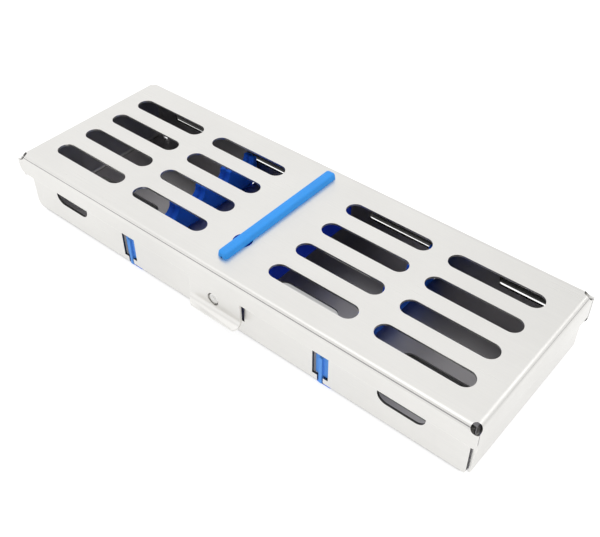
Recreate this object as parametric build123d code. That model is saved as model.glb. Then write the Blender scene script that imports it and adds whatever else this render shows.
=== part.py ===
"""Dental instrument cassette: a folded sheet-steel tray with a hinged, slotted lid.

Two silicone combs carry five instruments side by side, a silicone hold-down in the lid presses on
them, and a sprung tongue in the front wall keeps the lid shut. Millimetres. X runs along the
cassette, +Y to the hinges, +Z up; the origin is under the middle of the cassette, at the level of
the four silicone feet that it stands on.
"""

import os
from math import cos, radians, sin

from build123d import *

os.makedirs("parts", exist_ok=True)

# ---- driving dimensions -------------------------------------------------------------------------
lid_length = 203.2
lid_width = 70.6
box_height = 24.5           # underside of the tray's floor to the top of the lid
foot_drop = 1.8             # silicone feet under the floor
sheet = 0.8                 # tray and lid
bend = 2.4                  # outside radius of every fold of tray and lid
lid_top = foot_drop + box_height

# Lid: depth of each flange below the lid's top
front_flange = 8.0
end_flange = 10.0
rear_flange_left = 13.1     # its lower edge runs a little downwards to the right
rear_flange_right = 13.9
seam = 0.3                  # between neighbouring flanges at a corner
seam_top = 1.2              # where the seam starts, below the lid's top
relief_radius = 1.75        # round hole that frees the two folds at a corner
relief_rise = 0.5           # where its slanting axis meets the corner, above the lid's top
flange_corner_left = 3.0    # rounding of a flange's free corners
flange_corner_right = 1.0

# Steam slots of the lid, four columns by four rows
slot_length = 35.0
slot_width = 7.0
slot_pitch = 13.72
slot_columns = (-75.3, -33.1, 32.1, 74.3)
slot_middle_y = -0.6

# Tray
tray_left, tray_right = -98.9, 100.5
tray_front, tray_back = -33.6, 33.8
tray_rim = 24.7
tray_middle = (tray_left + tray_right) / 2
floor_top = foot_drop + sheet
corner_notches = (          # x and y from which each corner is cut away, so that its walls stay apart
    (99.45, -32.5),
    (-97.2, -32.0),
    (99.85, 32.7),
    (-95.0, 33.1),
)
wall_corner_left = 5.0      # rounding of the long walls' lower ends
wall_corner_right = 3.2
end_corner = 2.5            # and of the end walls
side_slot_length = 17.4     # front wall, one near each end
side_slot_reach = 75.0
side_slot_z = 15.3
rear_slots = (              # middle, length and lower edge
    (-77.9, 18.8, 13.6),
    (-29.7, 32.2, 13.1),
    (31.3, 32.2, 12.95),
    (79.5, 18.8, 12.5),
)
rear_slot_corner = 0.8
floor_slots = (-76.0, -17.1, 18.1, 76.0)      # columns of the floor, clear of the combs
floor_slot_lengths = (35.0, 27.0, 27.0, 35.0)

# Combs: a head with five notches, on a web that passes through the floor into a foot at each end
comb_middle = 1.2
comb_reach = 44.25
comb_width = 5.4
comb_top = 17.0
comb_front_top = 14.4       # of the ends, outside the first and last notch
comb_back_top = 16.2
comb_bottom = 5.4
comb_front, comb_back = -32.6, 32.6
notch_pitch = 13.72
notch_radius = 3.7
notch_depth = 4.6
web_width = 1.3
web_front, web_back = -33.6, 32.6
foot_width = 6.4
foot_length = 9.0
foot_front, foot_back = -31.8, 31.6
window_width = 6.4
window_bottom = 5.8
window_top = 21.0
neck_slot_width = 2.4
neck_slot_length = 10.6     # along the floor, from the outside of each long wall

# Hold-down: a bar on the lid, a web through the lid's slot, and a channel of two ribs below
bar_x = -0.9
bar_width = 4.6
bar_height = 2.2
bar_front, bar_back = -28.3, 30.5
bar_web_width = 2.2
bar_web_front, bar_web_back = -25.5, 27.5
pad_width = 29.2
pad_front, pad_back = -24.8, 23.6
pad_bottom = 16.5
pad_web = 1.8
rib_root, rib_tip = 3.4, 2.4
keyhole_radius = 3.5
keyhole_x, keyhole_y = -1.4, -17.4

# Latch: a tongue that hangs in a window of the front wall, with a stud in the lid flap's hole
latch_x = 0.7
flap_left, flap_right = -10.3, 13.0
flap_straight_end = 10.6    # height at which the flap turns outwards into its lip
lip_bend = 1.8              # radius of that turn on its hollow side
lip_angle = 70.0            # from upright
lip_reach = 3.2             # in front of the flap
lip_corner_left = 4.5       # rounding of the lip's front corners
lip_corner_right = 2.4
stud_z = 13.3
stud_radius = 2.1
stud_hole_radius = 2.5
stud_face = -35.0
stud_shank_radius = 1.2
stud_tail = 0.5             # thickness of the stud's head inside the tray
tongue_width = 18.6
tongue_top = 22.4
tongue_bottom = 10.2
tongue_window_width = 25.2
tongue_window_bottom = 9.4
tongue_window_top = 22.5

# Hinges: two butt hinges of sheet, riveted outside the rear wall and the rear flange
hinge_middle = 0.95
hinge_reach = 58.6
hinge_width = 20.0
hinge_sheet = 0.7
barrel_radius = 1.5
pin_radius = 0.75
pin_bore_radius = 0.8
hinge_y = lid_width / 2 + 1.7
hinge_z = 13.6
knuckle_gap = 0.25
lid_knuckle = 7.6           # the middle knuckle; the tray's leaf has the two outer ones
leaf_clearance = 1.7        # from the pin's axis to the full width of each leaf
lid_leaf_top = 23.2
tray_leaf_bottom = 4.4
joggle_height = 1.8
pin_head_radius = 1.15
pin_head = 0.4
rivet_spacing = 13.0
rivet_shank = 1.0
rivet_head = 1.7
rivet_head_height = 0.6
lid_rivet_z = 19.4
tray_rivet_z = 7.3


# ---- helpers ------------------------------------------------------------------------------------
def block(x0, x1, y0, y1, z0, z1):
    """Axis-aligned box between two corners."""
    middle = Pos((x0 + x1) / 2, (y0 + y1) / 2, (z0 + z1) / 2)
    return middle * Box(x1 - x0, y1 - y0, z1 - z0)


def rod_x(x0, x1, y, z, radius):
    """Cylinder along X."""
    return Pos((x0 + x1) / 2, y, z) * Rot(0, 90, 0) * Cylinder(radius, x1 - x0)


def rod_y(y0, y1, x, z, radius):
    """Cylinder along Y."""
    return Pos(x, (y0 + y1) / 2, z) * Rot(90, 0, 0) * Cylinder(radius, y1 - y0)


def rod_z(z0, z1, x, y, radius):
    """Cylinder along Z."""
    return Pos(x, y, (z0 + z1) / 2) * Cylinder(radius, z1 - z0)


def stadium_z(x, y, z0, z1, length, width):
    """Upright cutter with the outline of a slot that lies along X."""
    return Pos(x, y, z0) * extrude(SlotOverall(length, width), z1 - z0)


def stadium_y(x, z, y0, y1, length, width):
    """Cutter along Y with the outline of a slot that lies along X."""
    return Pos(x, y1, z) * Rot(90, 0, 0) * extrude(SlotOverall(length, width), y1 - y0)


def opening_y(x, z, y0, y1, length, width, radius):
    """Cutter along Y with the outline of a rounded rectangle whose lower edge is at z."""
    outline = RectangleRounded(length, width, radius)
    return Pos(x, y1, z + width / 2) * Rot(90, 0, 0) * extrude(outline, y1 - y0)


def prism_x(points, x0, x1):
    """Polygon of (y, z) points, extruded along X."""
    outline = Plane.YZ.offset(x0) * make_face(Polyline(*points, close=True))
    return extrude(outline, x1 - x0)


def rounded_block(x0, x1, y0, y1, z0, z1, radius, upper):
    """Box whose four upper or lower edges are rounded."""
    solid = block(x0, x1, y0, y1, z0, z1)
    edges = solid.faces().sort_by(Axis.Z)[-1 if upper else 0].edges()
    return fillet(edges, radius)


def rounding_x(x, sign, y0, y1, z, radius, beyond=1.0):
    """What rounding takes off a lower corner at x of a sheet along X; sign is the side it faces."""
    square = block(*sorted((x - sign * radius, x + sign * beyond)), y0, y1, z - 1, z + radius)
    return square - rod_y(y0 - 1, y1 + 1, x - sign * radius, z + radius, radius)


def rounding_y(y, sign, x0, x1, z, radius, beyond=1.0):
    """The same for a lower corner at y of a sheet along Y."""
    square = block(x0, x1, *sorted((y - sign * radius, y + sign * beyond)), z - 1, z + radius)
    return square - rod_x(x0 - 1, x1 + 1, y - sign * radius, z + radius, radius)


def save(node, shape):
    """Write one node's STEP file."""
    export_step(shape, f"parts/{node}.step")


# ---- lid ----------------------------------------------------------------------------------------
def make_lid():
    """Top plate with four flanges; the front one has the latch flap with its curled lip."""
    x, y = lid_length / 2, lid_width / 2
    low_left, low_right = lid_top - rear_flange_left, lid_top - rear_flange_right
    low = min(low_left, low_right)
    pan = rounded_block(-x, x, -y, y, low, lid_top, bend, True)
    pan -= rounded_block(-x + sheet, x - sheet, -y + sheet, y - sheet, low - 1, lid_top - sheet,
                         bend - sheet, True)

    front_edge = lid_top - front_flange
    end_edge = lid_top - end_flange
    seam_y = y - sheet - seam
    pan -= block(-x - 1, x + 1, -y - 1, -seam_y, low - 1, front_edge)
    pan -= extrude(Plane.XZ.offset(-y - 1) * make_face(Polyline(
        (-x - 1, low - 1), (x + 1, low - 1), (x + 1, low_right), (-x - 1, low_left), close=True)), 3)
    for side, flange_low, corner in ((-1, low_left, flange_corner_left),
                                     (1, low_right, flange_corner_right)):
        pan -= block(*sorted((side * (x - sheet), side * (x + 1))), -y - 1, seam_y, low - 1, end_edge)
        for end in (-1, 1):
            slit_y = sorted((end * seam_y, end * (y - sheet)))
            pan -= block(*sorted((side * (x - sheet), side * (x + 1))), *slit_y, low - 1,
                         lid_top - bend)
            pan -= block(*sorted((side * (x - 1.3), side * (x + 1))), *slit_y,
                         lid_top - bend - 0.1, lid_top - seam_top)
            corner_plane = Plane(origin=(side * x, end * y, lid_top + relief_rise),
                                 z_dir=(side, end, 1))
            pan -= corner_plane * Cylinder(relief_radius, 12)
        pan -= rounding_x(side * x, side, -y - 1, -y + sheet + 0.1, front_edge, corner)
        pan -= rounding_x(side * x, side, y - sheet - 0.1, y + 1, flange_low, flange_corner_left)

    for column in slot_columns:
        for row in range(4):
            pan -= stadium_z(column, slot_middle_y + (row - 1.5) * slot_pitch,
                             lid_top - sheet - 1, lid_top + 1, slot_length, slot_width)
    pan -= block(bar_x - bar_web_width / 2, bar_x + bar_web_width / 2, bar_web_front, bar_web_back,
                 lid_top - sheet - 1, lid_top + 1)
    pan -= rod_z(lid_top - sheet - 1, lid_top + 1, keyhole_x, keyhole_y, keyhole_radius)

    pan += make_flap()
    pan -= rod_y(-y - 1, -y + sheet + 1, latch_x, stud_z, stud_hole_radius)
    return pan - rivet_shanks(lid_rivet_z, y - sheet - 1, y + 1)


def make_flap():
    """Flap of the front flange that reaches down over the latch and turns out into a flared lip."""
    face = -lid_width / 2
    flap = block(flap_left, flap_right, face, face + sheet, flap_straight_end, lid_top - front_flange + 0.5)

    # Section of the lip: a hollow turn about a line in front of the flap, then a straight flare
    centre_y = face - lip_bend

    def at(radius, angle):
        turn = radians(angle)
        return (centre_y + radius * cos(turn), flap_straight_end - radius * sin(turn))

    out_y, out_z = -sin(radians(lip_angle)), -cos(radians(lip_angle))
    upper, lower = at(lip_bend, lip_angle), at(lip_bend + sheet, lip_angle)
    length = (face - lip_reach - upper[0]) / out_y
    upper_tip = (upper[0] + length * out_y, upper[1] + length * out_z)
    lower_tip = (lower[0] + length * out_y, lower[1] + length * out_z)
    section = make_face([
        ThreePointArc(at(lip_bend, 0), at(lip_bend, lip_angle / 2), upper),
        Polyline(upper, upper_tip, lower_tip, lower),
        ThreePointArc(lower, at(lip_bend + sheet, lip_angle / 2), at(lip_bend + sheet, 0)),
        Line(at(lip_bend + sheet, 0), at(lip_bend, 0)),
    ])
    lip = extrude(Plane.YZ.offset(flap_left) * section, flap_right - flap_left)
    front = face - lip_reach
    for x, sign, corner in ((flap_left, -1, lip_corner_left), (flap_right, 1, lip_corner_right)):
        square = block(*sorted((x - sign * corner, x + sign)), front - 1, front + corner,
                       lower_tip[1] - 1, flap_straight_end)
        lip -= square - rod_z(lower_tip[1] - 2, flap_straight_end + 1,
                              x - sign * corner, front + corner, corner)
    return flap + lip


# ---- hold-down ----------------------------------------------------------------------------------
def make_hold_down():
    """Silicone bar on the lid, joined through the lid's slot to a channel whose ribs press down."""
    under = lid_top - sheet
    bar = extrude(RectangleRounded(bar_width, bar_back - bar_front, 1.2), bar_height)
    bar = Pos(bar_x, (bar_front + bar_back) / 2, lid_top) * bar
    bar = fillet(bar.faces().sort_by(Axis.Z)[-1].edges(), 0.9)
    bar -= rod_y(bar_front - 1, bar_front + 1.2, bar_x, lid_top, 0.8)
    web = block(bar_x - bar_web_width / 2, bar_x + bar_web_width / 2,
                bar_web_front, bar_web_back, under, lid_top)
    half = pad_width / 2
    pad = block(bar_x - half, bar_x + half, pad_front, pad_back, under - pad_web, under)
    for side in (-1, 1):
        edge = bar_x + side * half
        rib = make_face(Polyline((edge, under - pad_web), (edge - side * rib_root, under - pad_web),
                                 (edge - side * rib_tip, pad_bottom), (edge, pad_bottom), close=True))
        pad += extrude(Plane.XZ.offset(-pad_back) * rib, pad_back - pad_front)
    return bar + web + pad


# ---- tray ---------------------------------------------------------------------------------------
def make_tray():
    """Folded tray with open corners, steam slots, comb windows and the window of the latch."""
    tray = rounded_block(tray_left, tray_right, tray_front, tray_back, foot_drop, tray_rim,
                         bend, False)
    tray -= rounded_block(tray_left + sheet, tray_right - sheet, tray_front + sheet,
                          tray_back - sheet, floor_top, tray_rim + 1, bend - sheet, False)

    for x, y in corner_notches:
        right, back = x > 0, y > 0
        sign_x, sign_y = (1 if right else -1), (1 if back else -1)
        side_face = tray_right if right else tray_left
        long_face = tray_back if back else tray_front
        tray -= block(*sorted((x, side_face + sign_x)), *sorted((y, long_face + sign_y)),
                      foot_drop - 1, tray_rim + 1)
        tray -= rounding_x(x, sign_x, *sorted((long_face + sign_y, long_face - sign_y * bend)),
                           foot_drop, wall_corner_right if right else wall_corner_left, 0.02)
        tray -= rounding_y(y, sign_y, *sorted((side_face + sign_x, side_face - sign_x * bend)),
                           foot_drop, end_corner, 0.02)

    for side in (-1, 1):
        tray -= stadium_y(tray_middle + side * side_slot_reach, side_slot_z,
                          tray_front - 1, tray_front + sheet + 1, side_slot_length, slot_width)
    for x, length, low in rear_slots:
        tray -= opening_y(x, low, tray_back - sheet - 1, tray_back + 1, length, slot_width,
                          rear_slot_corner)
    for column, length in zip(floor_slots, floor_slot_lengths):
        for row in range(4):
            tray -= stadium_z(column, slot_middle_y + (row - 1.5) * slot_pitch,
                              foot_drop - 1, floor_top + 1, length, slot_width)

    for side in (-1, 1):
        x = comb_middle + side * comb_reach
        tray -= block(x - window_width / 2, x + window_width / 2,
                      tray_front - 1, tray_front + sheet + 0.5, window_bottom, window_top)
        for y0, y1 in ((tray_front - 1, tray_front + neck_slot_length),
                       (tray_back - neck_slot_length, web_back + 0.2)):
            tray -= block(x - neck_slot_width / 2, x + neck_slot_width / 2, y0, y1,
                          foot_drop - 1, window_bottom + 0.1)
    tray -= block(latch_x - tongue_window_width / 2, latch_x + tongue_window_width / 2,
                  tray_front - 1, tray_front + sheet + 1, tongue_window_bottom, tongue_window_top)
    return tray - rivet_shanks(tray_rivet_z, tray_back - sheet - 1, tray_back + 1)


def comb_slice(x, width, front, back, bottom):
    """Upright slice of a comb, with its row of rounded notches along the top."""
    outline = Pos((front + back) / 2, (bottom + comb_top) / 2) * Rectangle(back - front,
                                                                          comb_top - bottom)
    centre_z = comb_top - notch_depth + notch_radius
    for index in range(-2, 3):
        y = slot_middle_y + index * notch_pitch
        outline -= Pos(y, centre_z) * Circle(notch_radius)
        outline -= Pos(y, centre_z + notch_radius) * Rectangle(2 * notch_radius, 2 * notch_radius)
    for end, top in ((-1, comb_front_top), (1, comb_back_top)):
        y = slot_middle_y + end * (2 * notch_pitch + 5)
        outline -= Pos(y, top + 5) * Rectangle(10, 10)
    outline = fillet(outline.vertices().group_by(Axis.Y)[-1], 0.8)
    return extrude(Plane.YZ.offset(x - width / 2) * outline, width)


def make_comb(side):
    """Silicone comb: notched head on a web, which passes through the floor at both ends into feet."""
    x = comb_middle + side * comb_reach
    comb = comb_slice(x, comb_width, comb_front, comb_back, comb_bottom)
    comb += comb_slice(x, web_width, web_front, web_back, floor_top)
    for y0, y1 in ((foot_front, foot_front + foot_length), (foot_back - foot_length, foot_back)):
        comb += block(x - web_width / 2, x + web_width / 2, y0, y1, 0.5, floor_top)
        foot = block(x - foot_width / 2, x + foot_width / 2, y0, y1, 0, foot_drop)
        comb += chamfer(foot.faces().sort_by(Axis.Z)[0].edges(), 0.5)
    return comb


# ---- latch --------------------------------------------------------------------------------------
def make_tongue():
    """Spring tongue of the front wall; it bends inwards at its upper edge."""
    tongue = block(latch_x - tongue_width / 2, latch_x + tongue_width / 2,
                   tray_front, tray_front + sheet, tongue_bottom, tongue_top)
    lower = tongue.edges().filter_by(Axis.Y).group_by(Axis.Z)[0]
    tongue = fillet(lower, 1.5)
    return tongue - rod_y(tray_front - 1, tray_front + sheet + 1, latch_x, stud_z, stud_shank_radius)


def make_stud():
    """Round stud, riveted through the tongue, that fills the flap's hole."""
    inside = tray_front + sheet
    face = rod_y(stud_face, tray_front, latch_x, stud_z, stud_radius)
    face = fillet(face.faces().sort_by(Axis.Y)[0].edges(), 0.4)
    shank = rod_y(tray_front, inside, latch_x, stud_z, stud_shank_radius)
    tail = rod_y(inside, inside + stud_tail, latch_x, stud_z, stud_radius)
    return face + shank + tail


# ---- hinges -------------------------------------------------------------------------------------
def hinge_x(side):
    """Middle of one hinge."""
    return hinge_middle + side * hinge_reach


def rivet_places():
    """X of the rivets, two in each leaf."""
    return [hinge_x(side) + end * rivet_spacing / 2 for side in (-1, 1) for end in (-1, 1)]


def rivet_shanks(z, y0, y1):
    """Shanks of the rivets of all leaves at one height."""
    rods = [rod_y(y0, y1, x, z, rivet_shank) for x in rivet_places()]
    return Compound(children=rods)


def make_rivets(z, inner, outer):
    """Rivets through a wall and a leaf, flush with the inner and headed on the outer face."""
    rivets = []
    for x in rivet_places():
        head = rod_y(outer, outer + rivet_head_height, x, z, rivet_head)
        head = fillet(head.faces().sort_by(Axis.Y)[-1].edges(), 0.4)
        rivets.append(head + rod_y(inner, outer, x, z, rivet_shank))
    return Compound(children=rivets)


def knuckle(x0, x1, z_end):
    """Rolled knuckle between two X, with the strip that leads up or down into its leaf."""
    ring = rod_x(x0, x1, hinge_y, hinge_z, barrel_radius)
    strip = block(x0, x1, lid_width / 2, lid_width / 2 + hinge_sheet, *sorted((hinge_z, z_end)))
    web = block(x0, x1, lid_width / 2 + hinge_sheet / 2, hinge_y, *sorted(
        (hinge_z, hinge_z + (0.6 if z_end > hinge_z else -0.6))))
    return ring + strip + web


def make_lid_leaf(side):
    """Leaf on the lid's rear flange, with the middle knuckle."""
    x, face = hinge_x(side), lid_width / 2
    low = hinge_z + leaf_clearance
    leaf = block(x - hinge_width / 2, x + hinge_width / 2, face, face + hinge_sheet,
                 low, lid_leaf_top)
    leaf += knuckle(x - lid_knuckle / 2, x + lid_knuckle / 2, low)
    leaf -= rod_x(x - hinge_width, x + hinge_width, hinge_y, hinge_z, pin_bore_radius)
    return leaf - rivet_shanks(lid_rivet_z, face - 1, face + hinge_sheet + 1)


def make_tray_leaf(side):
    """Leaf on the tray's rear wall, stepped out to the barrel, with the two outer knuckles."""
    x, face = hinge_x(side), lid_width / 2
    left, right = x - hinge_width / 2, x + hinge_width / 2
    high = hinge_z - leaf_clearance
    low = high - joggle_height
    leaf = block(left, right, tray_back, tray_back + hinge_sheet, tray_leaf_bottom, low)
    leaf += prism_x([(tray_back, low), (tray_back + hinge_sheet, low - 0.4),
                     (face + hinge_sheet, high - 0.4), (face + hinge_sheet, high), (face, high)],
                    left, right)
    knuckle_length = (hinge_width - lid_knuckle) / 2 - knuckle_gap
    leaf += knuckle(left, left + knuckle_length, high)
    leaf += knuckle(right - knuckle_length, right, high)
    leaf -= rod_x(left - 1, right + 1, hinge_y, hinge_z, pin_bore_radius)
    return leaf - rivet_shanks(tray_rivet_z, tray_back - 1, tray_back + hinge_sheet + 1)


def make_pin(side):
    """Hinge pin, peened over at both ends."""
    left = hinge_x(side) - hinge_width / 2
    right = left + hinge_width
    pin = rod_x(left - pin_head, right + pin_head, hinge_y, hinge_z, pin_radius)
    pin += rod_x(left - pin_head, left, hinge_y, hinge_z, pin_head_radius)
    return pin + rod_x(right, right + pin_head, hinge_y, hinge_z, pin_head_radius)


# ---- the nodes ----------------------------------------------------------------------------------
save("base_tray", make_tray())
save("lid_pan", make_lid())
save("lid_hold_down", make_hold_down())
save("latch_tongue", make_tongue())
save("latch_stud", make_stud())
for name, side in (("left", -1), ("right", 1)):
    save(f"{name}_instrument_comb", make_comb(side))
    save(f"{name}_hinge_lid_leaf", make_lid_leaf(side))
    save(f"{name}_hinge_tray_leaf", make_tray_leaf(side))
    save(f"{name}_hinge_pin", make_pin(side))
save("lid_hinge_rivets", make_rivets(lid_rivet_z, lid_width / 2 - sheet, lid_width / 2 + hinge_sheet))
save("tray_hinge_rivets", make_rivets(tray_rivet_z, tray_back - sheet, tray_back + hinge_sheet))
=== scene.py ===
"""Dental instrument cassette: looks, floor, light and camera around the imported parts.

The folded tray and lid are brushed steel sheet with deburred edges; the hinges are rolled from the
same sheet; combs and hold-down are blue silicone. Every length is in millimetres until it reaches
a mesh, where it becomes metres. X runs along the cassette, +Y to the hinges, +Z up, with the
origin under its middle.
"""

import sys

import logging
from dataclasses import dataclass
from enum import Enum
from math import acos, pi, radians, sqrt, tan

import bmesh
import bpy
import numpy as np
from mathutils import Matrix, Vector


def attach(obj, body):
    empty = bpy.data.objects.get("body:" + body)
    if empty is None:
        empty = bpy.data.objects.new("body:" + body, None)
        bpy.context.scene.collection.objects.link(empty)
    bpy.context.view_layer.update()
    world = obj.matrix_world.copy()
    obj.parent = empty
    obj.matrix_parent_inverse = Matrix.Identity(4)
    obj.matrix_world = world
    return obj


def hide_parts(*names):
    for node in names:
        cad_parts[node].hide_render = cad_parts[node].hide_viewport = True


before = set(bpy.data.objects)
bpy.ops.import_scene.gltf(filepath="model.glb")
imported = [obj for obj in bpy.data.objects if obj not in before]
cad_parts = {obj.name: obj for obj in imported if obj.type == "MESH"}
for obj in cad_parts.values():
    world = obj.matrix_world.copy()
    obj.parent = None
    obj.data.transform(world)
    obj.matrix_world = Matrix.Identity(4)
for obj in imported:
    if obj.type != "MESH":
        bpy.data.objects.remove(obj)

LOG = logging.getLogger("cassette")
MM = 0.001

Triple = tuple[float, float, float]
Pair = tuple[float, float]

WHITE = (1.0, 1.0, 1.0, 1.0)
SHARP_ANGLE = 50.0      # degrees; edges sharper than this are deburred
DEBURR_FACES = 2
RIM_ROWS = 5            # rows on each rounded rim of a slab
ARC_POINTS = 6          # points on each rounding of a turned profile


class Side(Enum):
    """Left or right of the cassette's middle, as the sign of X."""

    LEFT = -1
    RIGHT = 1

    @property
    def word(self) -> str:
        """The side's name as the nodes spell it."""
        return self.name.lower()


class Body(Enum):
    """Rigid bodies that the pieces ride on."""

    TRAY = "tray"
    LID = "lid"
    LATCH = "latch"


class Slot(Enum):
    """Material slots of the record."""

    SHEET = "steel_sheet"
    TURNED = "steel_turned"
    SILICONE = "blue_silicone"


class Across(Enum):
    """Which axis a slab's thickness runs along; its outline lies in the other two, in order."""

    X = (1, 2, 0)
    Y = (0, 2, 1)
    Z = (0, 1, 2)


# ---- finishes ----
class NodeTree:
    """Small helper that adds shader nodes to a material or a world and links them."""

    def __init__(self, owner: bpy.types.ID, output: str = "OutputMaterial") -> None:
        """Empty the owner's node tree, down to an output.

        Args:
            owner: The material or world.
            output: Type of its output node.
        """
        owner.use_nodes = True
        self.owner = owner
        self.tree = owner.node_tree
        self.tree.nodes.clear()
        self.output = self.add(output)

    def add(self, kind: str, inputs: dict[str | int, object] | None = None,
            **settings: object) -> bpy.types.Node:
        """Add a node.

        Args:
            kind: Blender's node type without the ShaderNode prefix.
            inputs: Socket name or number to a value, or to the output socket that feeds it.
            **settings: Properties of the node itself.

        Returns:
            The new node.
        """
        node = self.tree.nodes.new("ShaderNode" + kind)
        for key, value in settings.items():
            setattr(node, key, value)
        for key, value in (inputs or {}).items():
            socket = node.inputs[key]
            if isinstance(value, bpy.types.NodeSocket):
                self.tree.links.new(value, socket)
            else:
                socket.default_value = value
        return node

    def math(self, operation: str, a: object, b: object = 0.0) -> bpy.types.NodeSocket:
        """Add a Math node and return its output; a and b are numbers or output sockets."""
        return self.add("Math", {0: a, 1: b}, operation=operation).outputs[0]

    def ramp(self, value: object, low: float, high: float, to_low: float, to_high: float
             ) -> bpy.types.NodeSocket:
        """Map a value from one range to another, held at both ends.

        Args:
            value: Output socket that is mapped.
            low: Start of the input range.
            high: End of the input range.
            to_low: Result at the start.
            to_high: Result at the end.

        Returns:
            The mapped value's socket.
        """
        node = self.add("MapRange", {"Value": value, "From Min": low, "From Max": high,
                                     "To Min": to_low, "To Max": to_high})
        return node.outputs["Result"]

    def noise(self, place: bpy.types.NodeSocket, scale: float, detail: float = 3.0,
              roughness: float = 0.5) -> bpy.types.NodeSocket:
        """Add a noise texture and return its grey value."""
        return self.add("TexNoise", {"Vector": place, "Scale": scale, "Detail": detail,
                                     "Roughness": roughness}).outputs[0]

    def tinted(self, colour: Triple, tone: bpy.types.NodeSocket) -> bpy.types.NodeSocket:
        """Scale a colour by a tone and return the result."""
        return self.add("VectorMath", {0: colour, "Scale": tone}, operation="SCALE").outputs[0]

    def grey(self, noise: bpy.types.NodeSocket, to_low: float, to_high: float
             ) -> bpy.types.NodeSocket:
        """Map the range 0.3 to 0.7, where a noise mostly lies, to another."""
        return self.ramp(noise, 0.3, 0.7, to_low, to_high)

    def bump(self, height: bpy.types.NodeSocket, strength: float, depth: float
             ) -> bpy.types.NodeSocket:
        """Turn a grey value into a normal, with the relief's depth in millimetres."""
        return self.add("Bump", {"Height": height, "Strength": strength,
                                 "Distance": depth * MM}).outputs[0]

    def place(self) -> bpy.types.NodeSocket:
        """Return the point in the object's own coordinates, in metres."""
        return self.add("TexCoord").outputs["Object"]

    def finished(self, shader: bpy.types.Node) -> bpy.types.ID:
        """Connect the shader to the output and return the material or world."""
        self.tree.links.new(shader.outputs[0], self.output.inputs["Surface"])
        return self.owner


@dataclass(frozen=True)
class BrushedSheet:
    """Steel sheet brushed along the blank, with long scratches and polished edges lightened by a
    painted highlight.
    """

    name: str
    colour: Triple = (0.80, 0.79, 0.765)
    roughness: float = 0.33
    anisotropy: float = 0.45
    streak_depth: float = 0.2
    edge_shine: float = 0.5
    edge_gloss: float = 0.25
    edge_polish_and_highlight: float = 0.2
    edge_radius: float = 0.35
    hair_scale: Triple = (60.0, 9000.0, 1.0)
    streak_scale: Triple = (14.0, 1500.0, 1.0)

    def material(self) -> bpy.types.Material:
        """Build the material.

        Returns:
            A metal whose grain follows the sheet's unrolled blank, held in the piece's UV map.
        """
        t = NodeTree(bpy.data.materials.new(self.name))
        blank = t.add("UVMap", uv_map="blank").outputs["UV"]
        hair = t.add("Mapping", {"Vector": blank, "Scale": self.hair_scale}).outputs[0]
        streak = t.add("Mapping", {"Vector": blank, "Scale": self.streak_scale}).outputs[0]
        handling = t.noise(t.place(), 45.0, 4.0, 0.6)
        grain = t.math("ADD", t.math("MULTIPLY", t.noise(hair, 1.0), 0.4),
                       t.math("MULTIPLY", t.noise(streak, 1.0, 4.0, 0.6), 0.6))

        rounded = t.add("Bevel", {"Radius": self.edge_radius * MM}, samples=4).outputs[0]
        normal = t.add("NewGeometry").outputs["Normal"]
        same = t.add("VectorMath", {0: rounded, 1: normal}, operation="DOT_PRODUCT")
        edge = t.ramp(same.outputs["Value"], 0.99, 0.80, 0.0, 1.0)

        rough = t.grey(grain, self.roughness - 0.07, self.roughness + 0.07)
        rough = t.math("ADD", rough, t.ramp(handling, 0.35, 0.7, -0.02, 0.05))
        rough = t.math("SUBTRACT", rough,
                       t.math("MULTIPLY", edge, self.edge_shine * self.edge_gloss))
        tone = t.math("MULTIPLY", t.grey(grain, 0.97, 1.02),
                      t.ramp(handling, 0.3, 0.75, 1.01, 0.98))
        # Edges are lightened: polish wear together with a painted highlight.
        tone = t.math("ADD", tone, t.math("MULTIPLY", edge, self.edge_shine * self.edge_polish_and_highlight))
        tangent = t.add("Tangent", direction_type="UV_MAP", uv_map="blank").outputs[0]
        return t.finished(t.add("BsdfPrincipled", {
            "Base Color": t.tinted(self.colour, tone), "Metallic": 1.0, "Roughness": rough,
            "Normal": t.bump(grain, self.streak_depth, 0.02), "Anisotropic": self.anisotropy,
            "Tangent": tangent,
        }))


@dataclass(frozen=True)
class TurnedSteel:
    """Bright turned or drawn steel of pins, rivets and the latch stud."""

    name: str
    colour: Triple = (0.74, 0.735, 0.72)
    roughness: float = 0.22

    def material(self) -> bpy.types.Material:
        """Build the material.

        Returns:
            A metal with a fine, even scatter of small scratches.
        """
        t = NodeTree(bpy.data.materials.new(self.name))
        place = t.place()
        fine, broad = t.noise(place, 2600.0), t.noise(place, 260.0)
        rough = t.grey(broad, self.roughness - 0.05, self.roughness + 0.09)
        return t.finished(t.add("BsdfPrincipled", {
            "Base Color": t.tinted(self.colour, t.grey(fine, 0.94, 1.04)),
            "Metallic": 1.0, "Roughness": rough, "Normal": t.bump(fine, 0.15, 0.02),
        }))


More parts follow.
